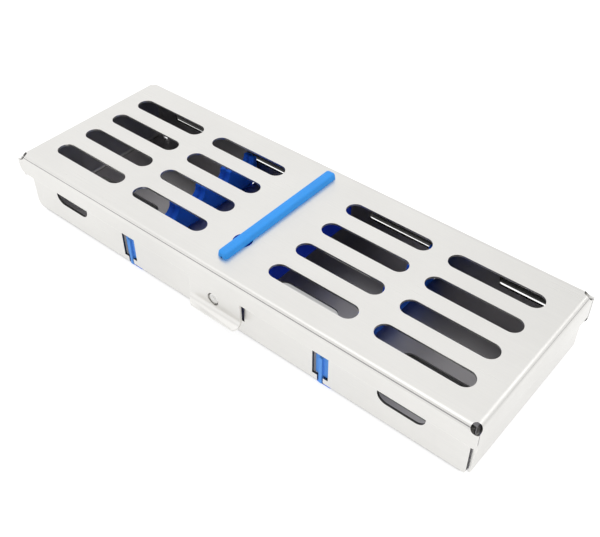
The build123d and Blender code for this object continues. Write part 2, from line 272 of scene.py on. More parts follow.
@dataclass(frozen=True)
class Silicone:
    """Coloured silicone rubber: soft satin skin with a fine moulded grain."""

    name: str
    colour: Triple = (0.03, 0.32, 0.88)
    roughness: float = 0.42
    lit_front_colour: Triple | None = None
    front_y: float = -31.9
    front_blend: float = 0.15

    def material(self) -> bpy.types.Material:
        """Build the material.

        Returns:
            A satin rubber with a moulded grain; in front of front_y it is lightened to its lit
            front
            colour, if it has one: a painted highlight.
        """
        t = NodeTree(bpy.data.materials.new(self.name))
        place = t.place()
        skin, cloud = t.noise(place, 1900.0), t.noise(place, 120.0)
        rough = t.grey(cloud, self.roughness - 0.04, self.roughness + 0.08)
        tone = t.math("MULTIPLY", t.grey(cloud, 0.95, 1.05), t.grey(skin, 0.97, 1.03))
        colour = t.tinted(self.colour, tone)
        # Painted light: ahead of front_y the colour turns to the lighter lit front colour,
        # standing in for light that reaches the end through the front wall.
        if self.lit_front_colour:
            y = t.add("SeparateXYZ", {0: place}).outputs[1]
            painted_front_light = t.ramp(y, (self.front_y + self.front_blend) * MM,
                              (self.front_y - self.front_blend) * MM, 0.0, 1.0)
            colour = t.add("Mix", {0: painted_front_light, 6: colour, 7: t.tinted(self.lit_front_colour, tone)},
                           data_type="RGBA").outputs[2]
        return t.finished(t.add("BsdfPrincipled", {
            "Base Color": colour, "Roughness": rough, "Normal": t.bump(skin, 0.18, 0.03),
            "Specular IOR Level": 0.4, "IOR": 1.43,
        }))


@dataclass(frozen=True)
class WhiteTable:
    """Matt white table top, lifted to white around the cassette but not under it.

    Places and widths are in metres; covered and bay are half sizes of boxes about the origin.
    """

    name: str = "white_table"
    shade: float = 0.40
    glow: float = 0.80
    mirrored_glow: float = 0.74
    scattered_glow: float = 0.40
    covered: Pair = (0.0962, 0.0311)
    soft: float = 0.0008
    bay: Pair = (0.044, 0.024)
    bay_painted_light: float = 0.42
    bay_soft: float = 0.002

    def material(self) -> bpy.types.Material:
        """Build the material.

        Returns:
            A diffuse white that keeps the shadow, lifted to white outside the cassette's floor,
            and less so below the slots of its middle bay.
        """
        t = NodeTree(bpy.data.materials.new(self.name))
        path = t.add("LightPath")
        mirrored = t.math("MAXIMUM", path.outputs["Is Glossy Ray"],
                          path.outputs["Is Transmission Ray"])
        glowing = t.math("MAXIMUM", t.math("MULTIPLY", path.outputs["Is Camera Ray"], self.glow),
                         t.math("MULTIPLY", mirrored, self.mirrored_glow))
        scattered = t.math("MULTIPLY", path.outputs["Is Diffuse Ray"], self.scattered_glow)
        glowing = t.math("MAXIMUM", glowing, scattered)
        beyond = t.ramp(self.outside(t, self.covered), -self.soft, self.soft, 0.0, 1.0)
        # Painted light: a pool of light on the table below the middle bay's slots, seen by the
        # camera.
        painted_light_below_bay = t.math("MULTIPLY", path.outputs["Is Camera Ray"],
                           t.ramp(self.outside(t, self.bay), 0.0, -self.bay_soft, 0.0,
                                  self.bay_painted_light))
        strength = t.math("MAXIMUM", t.math("MULTIPLY", glowing, beyond), painted_light_below_bay)
        shade = t.add("BsdfDiffuse", {"Color": (self.shade, self.shade, self.shade, 1.0)})
        glow = t.add("Emission", {"Color": WHITE, "Strength": strength})
        return t.finished(t.add("AddShader", {0: shade.outputs[0], 1: glow.outputs[0]}))

    @staticmethod
    def outside(t: NodeTree, half: Pair) -> bpy.types.NodeSocket:
        """Distance past the edge of a box about the origin, below zero inside it.

        Args:
            t: The material's nodes.
            half: Half sizes of the box along X and Y.

        Returns:
            Socket of max(|x| - half x, |y| - half y).
        """
        place = t.add("SeparateXYZ", {0: t.place()})
        past = [t.math("SUBTRACT", t.math("ABSOLUTE", place.outputs[axis]), half[axis])
                for axis in (0, 1)]
        return t.math("MAXIMUM", *past)


class Finishes:
    """The cassette's finishes and their painted-shade copies, each built once."""

    def __init__(self) -> None:
        """Build every material."""
        self.sheet = BrushedSheet("brushed_steel_sheet").material()
        # Painted shade: darker copies of the sheet steel for faces inside the pan; the floor's is
        # paler, shaded_steel's darkest.
        self.inside = BrushedSheet("painted_shade_steel_inside", colour=(0.33, 0.32, 0.325),
                                   roughness=0.42, anisotropy=0.3, edge_shine=0.2).material()
        self.floor = BrushedSheet("tray_floor_steel", colour=(0.56, 0.545, 0.56),
                                  roughness=0.42, anisotropy=0.3, edge_shine=0.2).material()
        self.shaded = BrushedSheet("shaded_steel", colour=(0.10, 0.10, 0.10), roughness=0.5,
                                   anisotropy=0.3, edge_shine=0.0).material()
        self.hinge = BrushedSheet("hinge_sheet", roughness=0.28, edge_radius=0.15).material()
        self.turned = TurnedSteel("turned_steel").material()
        # Painted shade: a dark copy of the turned steel for the rivets' faces inside the walls.
        self.dull_turned = TurnedSteel("dull_turned_steel", (0.10, 0.10, 0.105), 0.5).material()
        self.bar = Silicone("bar_silicone").material()
        # Painted shade and light: the comb's deeper blue stands for the shade inside the cassette,
        # and its lit front colour is a painted highlight on the end seen through the front wall's
        # windows.
        self.comb = Silicone("comb_silicone", colour=(0.015, 0.17, 0.98), roughness=0.6,
                             lit_front_colour=(0.12, 0.38, 0.97)).material()
        # Painted shade: a dark copy of the silicone for the hold-down's part under the lid.
        self.channel = Silicone("channel_silicone", colour=(0.003, 0.04, 0.58),
                                roughness=0.6).material()


# ---- surfaces ----
@dataclass(frozen=True)
class Outline:
    """Closed outline in a plane, anticlockwise, with its outward normals."""

    points: np.ndarray
    normals: np.ndarray

    def inset(self, depths: np.ndarray) -> np.ndarray:
        """Move the outline inwards by each depth: point minus depth times normal.

        Args:
            depths: Depths, one for each copy.

        Returns:
            Array of copies by points by 2.
        """
        return self.points[None] - np.asarray(depths)[:, None, None] * self.normals[None]


def rounded_outline(corners: list[Pair], radii: list[float] | float, steps: int = 7) -> Outline:
    """Round a polygon's corners.

    Each arc touches both sides of its corner: its centre lies on the corner's bisector at
    radius / sin(half the corner's angle), and its points are the centre plus the radius times a
    direction that turns evenly from one side's normal to the other's.

    Args:
        corners: The polygon's corners, anticlockwise.
        radii: Radius at each corner, or one for all.
        steps: Points on each arc.

    Returns:
        The rounded outline.
    """
    corner = np.asarray(corners, float)
    radius = np.broadcast_to(np.asarray(radii, float), len(corner))[:, None]
    back, ahead = np.roll(corner, 1, axis=0) - corner, np.roll(corner, -1, axis=0) - corner
    back /= np.linalg.norm(back, axis=1, keepdims=True)
    ahead /= np.linalg.norm(ahead, axis=1, keepdims=True)
    half = np.arccos(np.clip((back * ahead).sum(axis=1, keepdims=True), -1, 1)) / 2
    bisector = (back + ahead) / np.linalg.norm(back + ahead, axis=1, keepdims=True)
    centre = corner + bisector * radius / np.sin(half)
    first = back / np.tan(half) - bisector / np.sin(half)
    last = ahead / np.tan(half) - bisector / np.sin(half)
    start, stop = np.arctan2(first[:, 1], first[:, 0]), np.arctan2(last[:, 1], last[:, 0])
    turn = (stop - start + pi) % (2 * pi) - pi
    angle = start[:, None] + turn[:, None] * np.linspace(0, 1, steps)
    direction = np.stack([np.cos(angle), np.sin(angle)], axis=-1)
    points = centre[:, None] + radius[:, None] * direction
    normals = direction * np.sign(turn)[:, None, None]
    return Outline(points.reshape(-1, 2), normals.reshape(-1, 2))


def rounded_box(low: Pair, high: Pair, radius: float) -> Outline:
    """Rounded rectangle between two opposite corners."""
    return rounded_outline([low, (high[0], low[1]), high, (low[0], high[1])], radius)


def slab(outline: Outline, across: Across, low: float, high: float, low_edge: float,
         high_edge: float) -> np.ndarray:
    """Carry an outline across a slab's thickness, rounding both rims.

    The rows follow a quarter circle at each rim: with angle a, the height is the rim's radius
    times (1 - cos a) from the face, and the outline is drawn in by the radius times (1 - sin a).

    Args:
        outline: The slab's outline.
        across: Axis of the thickness.
        low: Where the thickness starts.
        high: Where it ends.
        low_edge: Radius of the lower rim.
        high_edge: Radius of the upper rim.

    Returns:
        Grid of rows by columns by 3; the columns close on themselves.
    """
    angle = np.linspace(0, pi / 2, RIM_ROWS)
    rise, draw = 1 - np.cos(angle), 1 - np.sin(angle)
    height = np.concatenate([low + low_edge * rise, (high - high_edge * rise)[::-1]])
    depth = np.concatenate([low_edge * draw, (high_edge * draw)[::-1]])
    flat = outline.inset(depth)
    level = np.broadcast_to(height[:, None, None], flat.shape[:2] + (1,))
    grid = np.empty(flat.shape[:2] + (3,))
    grid[..., list(across.value)] = np.concatenate([flat, level], axis=-1)
    return grid


def revolved(profile: list[Pair], centre: Triple, axis: int, steps: int = 40) -> np.ndarray:
    """Turn a profile about an axis.

    A point is the centre, plus the profile's place along the axis, plus its radius times
    (cos a, sin a) in the two directions across.

    Args:
        profile: Places along the axis with their radii, from pole to pole.
        centre: A point on the axis.
        axis: Number of the axis, 0 for X.
        steps: Points around.

    Returns:
        Grid of rows by columns by 3; the columns close on themselves.
    """
    along, radius = np.asarray(profile, float).T
    angle = np.linspace(0, 2 * pi, steps, endpoint=False)
    grid = np.empty((len(along), steps, 3))
    grid[..., axis] = along[:, None]
    grid[..., (axis + 1) % 3] = radius[:, None] * np.cos(angle)
    grid[..., (axis + 2) % 3] = radius[:, None] * np.sin(angle)
    return grid + np.asarray(centre)


def arc_profile(along: float, radius: float, round_off: float, start: float, stop: float
                ) -> list[Pair]:
    """Points of a rim's rounding in a turned profile: centre plus round_off times (cos, sin).

    Args:
        along: Place of the rounding's centre along the axis.
        radius: Distance of the centre from the axis.
        round_off: Radius of the rounding.
        start: First angle in degrees; 0 looks along the axis and 90 away from it.
        stop: Last angle.

    Returns:
        Places along the axis with their radii.
    """
    angle = np.radians(np.linspace(start, stop, ARC_POINTS))
    return list(zip(along + round_off * np.cos(angle), radius + round_off * np.sin(angle)))


class Shells:
    """Closed grids of points, gathered into one mesh."""

    def __init__(self, name: str) -> None:
        """Start without a grid.

        Args:
            name: Name of the piece to be.
        """
        self.name = name
        self.points: list[np.ndarray] = []
        self.faces: list[tuple[int, ...]] = []
        self.count = 0

    def add(self, grid: np.ndarray) -> None:
        """Add a grid whose columns close on themselves, with a cap at each end.

        Point (i, j) has number i * columns + j, and each face joins (i, j), (i, j + 1),
        (i + 1, j + 1) and (i + 1, j), where the last column is followed by the first.

        Args:
            grid: Rows by columns by 3, in millimetres.
        """
        rows, columns = grid.shape[:2]
        i, j = np.meshgrid(np.arange(rows - 1), np.arange(columns), indexing="ij")
        k = (j + 1) % columns
        quads = np.stack([i * columns + j, i * columns + k,
                          (i + 1) * columns + k, (i + 1) * columns + j], axis=-1)
        self.faces += (quads.reshape(-1, 4) + self.count).tolist()
        first = np.arange(columns) + self.count
        self.faces += [first[::-1].tolist(), (first + (rows - 1) * columns).tolist()]
        self.points.append(grid.reshape(-1, 3))
        self.count += rows * columns

    def mesh(self) -> bpy.types.Mesh:
        """Put the grids into a mesh.

        Returns:
            A mesh in metres whose repeated points are merged and whose faces look outwards.
        """
        mesh = bpy.data.meshes.new(self.name)
        mesh.from_pydata(np.concatenate(self.points) * MM, [], self.faces)
        work = bmesh.new()
        work.from_mesh(mesh)
        bmesh.ops.remove_doubles(work, verts=work.verts, dist=0.001 * MM)
        bmesh.ops.dissolve_degenerate(work, edges=work.edges, dist=0.001 * MM)
        bmesh.ops.recalc_face_normals(work, faces=work.faces)
        work.to_mesh(mesh)
        work.free()
        return mesh


def values(items: bpy.types.bpy_prop_collection, key: str, width: int = 1,
           kind: type = float) -> np.ndarray:
    """Read a property of every vertex, corner or face.

    Args:
        items: The vertices, corners or faces of a mesh.
        key: Name of the property.
        width: Numbers in one value.
        kind: Type of the numbers.

    Returns:
        Array of items by width.
    """
    flat = np.empty(len(items) * width, dtype=kind)
    items.foreach_get(key, flat)
    return flat.reshape(-1, width)


def face_centres(mesh: bpy.types.Mesh) -> np.ndarray:
    """Return the centres of a mesh's faces, in millimetres."""
    return values(mesh.polygons, "center", 3) / MM


def finish_faces(mesh: bpy.types.Mesh, finish: np.ndarray) -> None:
    """Give each face of a mesh the material whose number stands in finish."""
    mesh.polygons.foreach_set("material_index", finish.astype(np.int32))


def linked(name: str, data: bpy.types.ID) -> bpy.types.Object:
    """Make an object and put it into the scene.

    Args:
        name: Name of the object.
        data: Its mesh, light or camera.

    Returns:
        The object, at the origin.
    """
    made = bpy.data.objects.new(name, data)
    bpy.context.scene.collection.objects.link(made)
    return made


def placed(mesh: bpy.types.Mesh, body: Body, slot: Slot, material: bpy.types.Material,
           *nodes: str, smooth_angle: float = 40.0) -> bpy.types.Object:
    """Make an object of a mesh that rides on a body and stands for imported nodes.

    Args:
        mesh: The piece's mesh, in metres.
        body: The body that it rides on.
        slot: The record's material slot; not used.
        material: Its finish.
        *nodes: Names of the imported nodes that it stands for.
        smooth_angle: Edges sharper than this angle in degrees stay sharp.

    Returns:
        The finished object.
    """
    made = linked(mesh.name, mesh)
    mesh.materials.append(material)
    mesh.polygons.foreach_set("use_smooth", np.ones(len(mesh.polygons), dtype=bool))
    mesh.set_sharp_from_angle(angle=radians(smooth_angle))
    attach(made, body.value)
    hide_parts(*nodes)
    LOG.info("built %s for %s", made.name, ", ".join(nodes))
    return made


def deburred(made: bpy.types.Object, width: float) -> None:
    """Round an object's sharp edges.

    Args:
        made: The object.
        width: Width of the rounding, in millimetres.
    """
    bevel = made.modifiers.new("deburred edges", "BEVEL")
    bevel.width = width * MM
    bevel.segments = DEBURR_FACES
    bevel.limit_method = "ANGLE"
    bevel.angle_limit = radians(SHARP_ANGLE)
    bevel.use_clamp_overlap = True
    bevel.harden_normals = True


# ---- folded sheets ----
@dataclass
class FoldedSheet:
    """A folded pan of sheet steel, tray or lid, dressed as one brushed blank.

    A face is inside the pan where its centre lies between inner_low and inner_high.
    """

    node: str
    body: Body
    inner_low: Triple
    inner_high: Triple
    lit_y: Pair
    middle_x: float
    fold_z: float
    floor_z: float = 2.65
    deburr: float = 0.12
    merge: float = 0.002
    flat_angle: float = 0.6

    def build(self, finishes: Finishes) -> bpy.types.Object:
        """Copy the node, round its edges and give it its finishes.

        Faces inside the pan get painted shade: darker copies of the steel. Of these the tray's
        floor is paler, and those beyond lit_y, the rims in the walls and the face behind the rear
        wall, are darker still.

        Args:
            finishes: The cassette's materials.

        Returns:
            The finished sheet.
        """
        mesh = self.merged_mesh()
        sheet = placed(mesh, self.body, Slot.SHEET, finishes.sheet, self.node, smooth_angle=35.0)
        # Painted shade: the faces inside the pan take darker copies of the steel.
        for material in (finishes.inside, finishes.floor, finishes.shaded):
            mesh.materials.append(material)
        centres = face_centres(mesh)
        inner = np.all((centres > self.inner_low) & (centres < self.inner_high), axis=1)
        dark = (centres[:, 1] < self.lit_y[0]) | (centres[:, 1] > self.lit_y[1])
        finish_faces(mesh, inner * np.where(dark, 3, np.where(centres[:, 2] < self.floor_z, 2, 1)))
        self.unroll(mesh)
        deburred(sheet, self.deburr)
        return sheet

    def merged_mesh(self) -> bpy.types.Mesh:
        """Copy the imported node's mesh with its loose triangles merged into plain faces.

        Returns:
            The merged copy, without materials.
        """
        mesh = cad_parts[self.node].data.copy()
        mesh.name = self.node + "_sheet"
        mesh.materials.clear()
        work = bmesh.new()
        work.from_mesh(mesh)
        bmesh.ops.remove_doubles(work, verts=work.verts, dist=self.merge * MM)
        bmesh.ops.dissolve_limit(work, angle_limit=radians(self.flat_angle), verts=work.verts,
                                 edges=work.edges)
        work.to_mesh(mesh)
        work.free()
        return mesh

    def unroll(self, mesh: bpy.types.Mesh) -> None:
        """Write the UV map "blank": each corner's place on the flat sheet, in metres.

        Along the blank, u is x, plus the depth below the fold on the end walls; v is y, plus the
        depth on the long walls, so the grain runs on over the folds as on the real sheet.

        Args:
            mesh: The sheet's mesh.
        """
        corners = values(mesh.loops, "vertex_index", kind=np.int32).ravel()
        places = values(mesh.vertices, "co", 3)[corners]
        totals = values(mesh.polygons, "loop_total", kind=np.int32).ravel()
        normals = np.repeat(np.abs(values(mesh.polygons, "normal", 3)), totals, axis=0)
        depth = np.abs(places[:, 2] - self.fold_z * MM)
        across = places[:, 0] - self.middle_x * MM
        on_end = (normals[:, 0] > 0.3) & (normals[:, 1] < 0.5)
        on_side = (normals[:, 1] > 0.3) & ~on_end
        u = across + np.where(on_end, np.sign(across) * depth, 0.0)
        v = places[:, 1] + np.where(on_side, np.sign(places[:, 1]) * depth, 0.0)
        layer = mesh.uv_layers.new(name="blank")
        layer.data.foreach_set("uv", np.stack([u, v], axis=1).ravel())


# ---- silicone ----
@dataclass
class HoldDown:
    """Silicone bar on the lid, with a web through its slot and a channel with two ribs below."""

    middle: float = -0.9
    foot_width: float = 4.6
    top_width: float = 3.5
    height: float = 2.2
    lid_top: float = 26.3
    lid_under: float = 25.5
    bar_ends: Pair = (-28.3, 30.5)
    end_round: float = 1.3
    tunnel: Pair = (0.8, 1.2)
    foot_round: float = 0.12
    top_round: float = 0.75
    web: Triple = (2.1, -25.5, 27.5)
    web_round: float = 0.5
    web_overlap: float = 0.3
    pad_ends: Pair = (-24.8, 23.6)
    pad_width: float = 29.2
    pad_bottom: float = 16.5
    pad_web: float = 1.8
    pad_rim: float = 0.45
    rib: Pair = (3.4, 2.4)

    def build(self, finishes: Finishes) -> bpy.types.Object:
        """Build bar, web and channel as one moulded piece.

        Args:
            finishes: The cassette's materials.

        Returns:
            The finished hold-down.
        """
        shells = Shells("silicone_hold_down")
        shells.add(self.bar())
        width, front, back = self.web
        half = width / 2
        web = rounded_box((self.middle - half, front), (self.middle + half, back), self.web_round)
        shells.add(slab(web, Across.Z, self.lid_under - self.web_overlap,
                        self.lid_top + self.web_overlap, 0.0, 0.0))
        shells.add(slab(self.channel(), Across.Y, *self.pad_ends, self.pad_rim, self.pad_rim))
        made = placed(shells.mesh(), Body.LID, Slot.SILICONE, finishes.bar, "lid_hold_down")
        # Painted shade: faces below the lid sheet take the darker channel silicone.
        made.data.materials.append(finishes.channel)
        sheet_middle = (self.lid_top + self.lid_under) / 2
        finish_faces(made.data, face_centres(made.data)[:, 2] < sheet_middle)
        return made

    def bar(self) -> np.ndarray:
        """Carry the bar's section along its length.

        The section is a rounded trapezium, with a half round tunnel in its foot at the front end.
        Within a radius R of each end, at a distance d from it, the half width and the height
        shrink by R - sqrt(R^2 - (R - d)^2), so that the ends are rounded too.

        Returns:
            Grid of rows by columns by 3.
        """
        foot, top = self.foot_width / 2, self.top_width / 2
        radii = [self.foot_round] * 2 + [self.top_round] * 2
        upper = rounded_outline([(-foot, 0), (foot, 0), (top, self.height), (-top, self.height)],
                                radii, 8).points
        hollow = np.radians(np.linspace(180, 0, 9))
        reach = self.tunnel[0]
        tunnel = reach * np.stack([np.cos(hollow), np.sin(hollow)], axis=1)
        section = np.concatenate([upper[:8], tunnel, upper[8:]])
        in_foot = np.arange(8, 8 + len(tunnel))

        turn = np.linspace(0, pi / 2, 8)
        near = self.end_round * (1 - np.cos(turn))
        front, back = self.bar_ends
        tunnel_end = front + self.tunnel[1]
        stations = np.concatenate([front + near[near < self.tunnel[1]], [tunnel_end, tunnel_end],
                                   np.linspace(front + self.end_round, back - self.end_round, 30),
                                   back - near[::-1]])
        opened = np.arange(len(stations)) <= np.sum(near < self.tunnel[1])
        distance = np.minimum(stations - front, back - stations)
        missing = np.clip(self.end_round - distance, 0, None)
        shrink = self.end_round - np.sqrt(self.end_round ** 2 - missing ** 2)
        wide = (foot - shrink) / foot
        tall = (self.height - 0.6 * shrink) / self.height

        grid = np.empty((len(stations), len(section), 3))
        grid[..., 0] = self.middle + section[None, :, 0] * wide[:, None]
        grid[..., 1] = stations[:, None]
        lift = section[None, :, 1] * tall[:, None]
        lift[np.ix_(~opened, in_foot)] = 0.0
        grid[..., 2] = self.lid_top + lift
        return grid

    def channel(self) -> Outline:
        """Section of the channel: a plate under the lid with a tapered rib down each side.

        Returns:
            The outline in (x, z), with softly rounded corners.
        """
        half, top = self.pad_width / 2, self.lid_under
        root, tip = self.rib
        under = top - self.pad_web
        right = [(half - tip, self.pad_bottom), (half, self.pad_bottom), (half, top)]
        left = [(-x, z) for x, z in right[::-1]]
        corners = right + left + [(-half + root, under), (half - root, under)]
        radii = [0.6, 0.6, 0.5, 0.5, 0.6, 0.6, 1.0, 1.0]
        return rounded_outline([(self.middle + x, z) for x, z in corners], radii)


@dataclass
class Comb:
    """Silicone comb: notched head on a thin web, with two feet through the tray's floor.

    notch_lips are the roundings at the tops of full and of lowered flanks.
    """

    side: Side
    middle: float = 1.2
    reach: float = 44.25
    head_width: float = 5.4
    head_ends: Pair = (-32.6, 32.6)
    head_bottom: float = 5.4
    head_round: float = 0.6
    head_rim: float = 0.45
    top: float = 17.0
    end_tops: Pair = (14.4, 16.2)
    notch_radius: float = 3.7
    notch_depth: float = 4.6
    notch_pitch: float = 13.72
    notch_middle: float = -0.6
    notch_lips: Pair = (0.8, 0.48)
    web_width: float = 1.3
    web_ends: Pair = (-33.6, 32.6)
    web_round: float = 0.3
    web_rim: float = 0.15
    floor_top: float = 2.6
    neck_overlap: float = 0.5
    foot: Triple = (6.4, 9.0, 1.8)
    foot_ends: Pair = (-31.8, 31.6)
    foot_round: float = 0.9
    foot_rims: Pair = (0.5, 0.25)

    def build(self, finishes: Finishes) -> bpy.types.Object:
        """Build head, web, necks and feet.

        Args:
            finishes: The cassette's materials.

        Returns:
            The finished comb.
        """
        name = self.side.word + "_instrument_comb"
        x = self.middle + self.side.value * self.reach
        shells = Shells(name.replace("instrument", "silicone"))
        half = self.head_width / 2
        head = self.outline(self.head_ends, self.head_bottom, self.head_round)
        shells.add(slab(head, Across.X, x - half, x + half, self.head_rim, self.head_rim))
        half = self.web_width / 2
        web = self.outline(self.web_ends, self.floor_top, self.web_round)
        shells.add(slab(web, Across.X, x - half, x + half, self.web_rim, self.web_rim))
        width, length, height = self.foot
        for start in (self.foot_ends[0], self.foot_ends[1] - length):
            neck = rounded_box((x - half, start), (x + half, start + length), self.web_round)
            shells.add(slab(neck, Across.Z, self.neck_overlap, self.floor_top + self.neck_overlap,
                            0.0, 0.0))
            foot = rounded_box((x - width / 2, start), (x + width / 2, start + length),
                               self.foot_round)
            shells.add(slab(foot, Across.Z, 0.0, height, *self.foot_rims))
        return placed(shells.mesh(), Body.TRAY, Slot.SILICONE, finishes.comb, name)

    def outline(self, ends: Pair, bottom: float, radius: float) -> Outline:
        """Side view of the comb in (y, z), with five U-shaped notches along the top.

        A notch is a half circle with upright flanks. The outer flank of the first and last notch
        stops at the end's lower top; where that is below the half circle's centre by a drop, the
        flank is an arc that leans there by acos(drop / notch radius).

        Args:
            ends: Its front and rear ends.
            bottom: Its lower edge.
            radius: Rounding of its outer corners.

        Returns:
            The outline, anticlockwise from the lower front corner.
        """
        notch = self.notch_radius
        floor = self.top - self.notch_depth
        front_top, back_top = self.end_tops
        corners = [(ends[0], bottom), (ends[1], bottom), (ends[1], back_top)]
        radii = [radius] * 3
        for index in range(2, -3, -1):
            y = self.notch_middle + index * self.notch_pitch
            tops = (back_top if index == 2 else self.top, front_top if index == -2 else self.top)
            for side, top in zip((1, -1), tops):
                drop = max(floor + notch - top, 0.0)
                edge = sqrt(notch ** 2 - drop ** 2)
                foot = notch * tan(acos(drop / notch) / 2)
                rounding = self.notch_lips[0 if top == self.top else 1]
                turn = 0.86 * notch if drop else notch - 0.01
                flank = [((y + side * edge, top), rounding), ((y + side * foot, floor), turn)]
                for corner, bend in flank[::side]:
                    corners.append(corner)
                    radii.append(bend)
        corners.append((ends[0], front_top))
        radii.append(radius)
        return rounded_outline(corners, radii, 10)


# ---- rolled and cut sheet ----
def sheet_mesh(name: str, path: np.ndarray, across: np.ndarray, kept: np.ndarray | None = None
               ) -> bpy.types.Mesh:
    """Carry rows of points across a bent strip's middle plane.

    Point (i, j) is at x = across[i, j] and at the path's (y, z) number i. The UV map "blank" holds
    x and the length along the path, so that brushing follows the bends.

    Args:
        name: Name of the mesh.
        path: The strip's middle line in (y, z), rows by 2.
        across: X of every point, rows by columns.
        kept: For each face, whether it is there; None keeps all.

    Returns:
        The open mesh, in metres.
    """
    rows, columns = across.shape
    bent = np.broadcast_to(path[:, None], (rows, columns, 2))
    points = np.concatenate([across[..., None], bent], axis=-1)
    i, j = np.meshgrid(np.arange(rows - 1), np.arange(columns - 1), indexing="ij")
    first = i * columns + j
    quads = np.stack([first, first + 1, first + columns + 1, first + columns], axis=-1)
    quads = quads[np.ones(i.shape, dtype=bool) if kept is None else kept]
    used = np.unique(quads)
    renumber = np.zeros(rows * columns, dtype=int)
    renumber[used] = np.arange(len(used))
    quads = renumber[quads]
    mesh = bpy.data.meshes.new(name)
    mesh.from_pydata(points.reshape(-1, 3)[used] * MM, [], quads.tolist())
    steps = np.linalg.norm(np.diff(path, axis=0), axis=1)
    length = np.concatenate([[0.0], np.cumsum(steps)])
    blank = np.stack([across, np.broadcast_to(length[:, None], across.shape)], axis=-1)
    blank = blank.reshape(-1, 2)[used] * MM
    mesh.uv_layers.new(name="blank").data.foreach_set("uv", blank[quads.ravel()].ravel())
    return mesh


def thickened(made: bpy.types.Object, thickness: float) -> None:
    """Give an open sheet its thickness, half to each side.

    Args:
        made: The sheet.
        thickness: Its thickness, in millimetres.
    """
    solid = made.modifiers.new("sheet thickness", "SOLIDIFY")
    solid.thickness = thickness * MM
    solid.offset = 0.0
    solid.use_even_offset = True


def corner_width(distance: np.ndarray, half: float, radius: float) -> np.ndarray:
    """Half width of a strip near a rounded end.

    At a distance d < r from the end it is half - r + sqrt(r^2 - (r - d)^2), and half beyond.

    Args:
        distance: Distances from the end.
        half: The full half width.
        radius: Radius of the two corners.

    Returns:
        The half widths.
    """
    missing = np.clip(radius - distance, 0, None)
    return half - radius + np.sqrt(radius ** 2 - missing ** 2)


@dataclass
class Latch:
    """Spring tongue of the front wall with the stud that fills the lid flap's hole.

    The stud's crown is given as pairs of depth behind its foremost plane and radius.
    """

    x: float = 0.7
    width: float = 18.6
    top: float = 22.4
    bottom: float = 10.2
    wall_front: float = -33.6
    sheet: float = 0.8
    corner: float = 1.5
    stud_z: float = 13.3
    stud_face: float = -35.0
    stud_radius: float = 2.1
    stud_round: float = 0.4
    crown: tuple[Pair, ...] = ((0.12, 0.0), (0.10, 0.5), (0.04, 1.1))
    shank_radius: float = 1.2
    tail: float = 0.5
    tail_round: float = 0.25
    play: float = 0.01

    def build(self, finishes: Finishes) -> None:
        """Build tongue and stud.

        Args:
            finishes: The cassette's materials.
        """
        turn = np.linspace(0, pi / 2, 8)
        distance = np.concatenate([self.corner * (1 - np.cos(turn)),
                                   np.linspace(self.corner, self.top - self.bottom, 12)[1:]])
        half = corner_width(distance, self.width / 2, self.corner)
        across = self.x + half[:, None] * np.linspace(-1, 1, 15)
        middle = self.wall_front + self.sheet / 2
        path = np.stack([np.full(len(distance), middle), self.bottom + distance], axis=1)
        tongue = placed(sheet_mesh("spring_tongue", path, across), Body.LATCH, Slot.SHEET,
                        finishes.sheet, "latch_tongue")
        thickened(tongue, self.sheet)
        deburred(tongue, 0.08)

        radius, rim, bend = self.stud_radius, self.stud_round, self.tail_round
        front, back = self.wall_front - self.play, self.wall_front + self.sheet + self.play
        tail = self.wall_front + self.sheet + self.tail
        turned = [(self.stud_face + depth, distance) for depth, distance in self.crown]
        turned += arc_profile(self.stud_face + rim, radius - rim, rim, 180, 90)
        turned += [(front, radius), (front, self.shank_radius),
                   (back, self.shank_radius), (back, radius)]
        turned += arc_profile(tail - bend, radius - bend, bend, 90, 0)
        turned += [(tail, 0.0)]
        shells = Shells("turned_stud")
        shells.add(revolved(turned, (self.x, 0.0, self.stud_z), 1))
        placed(shells.mesh(), Body.LATCH, Slot.TURNED, finishes.turned, "latch_stud")


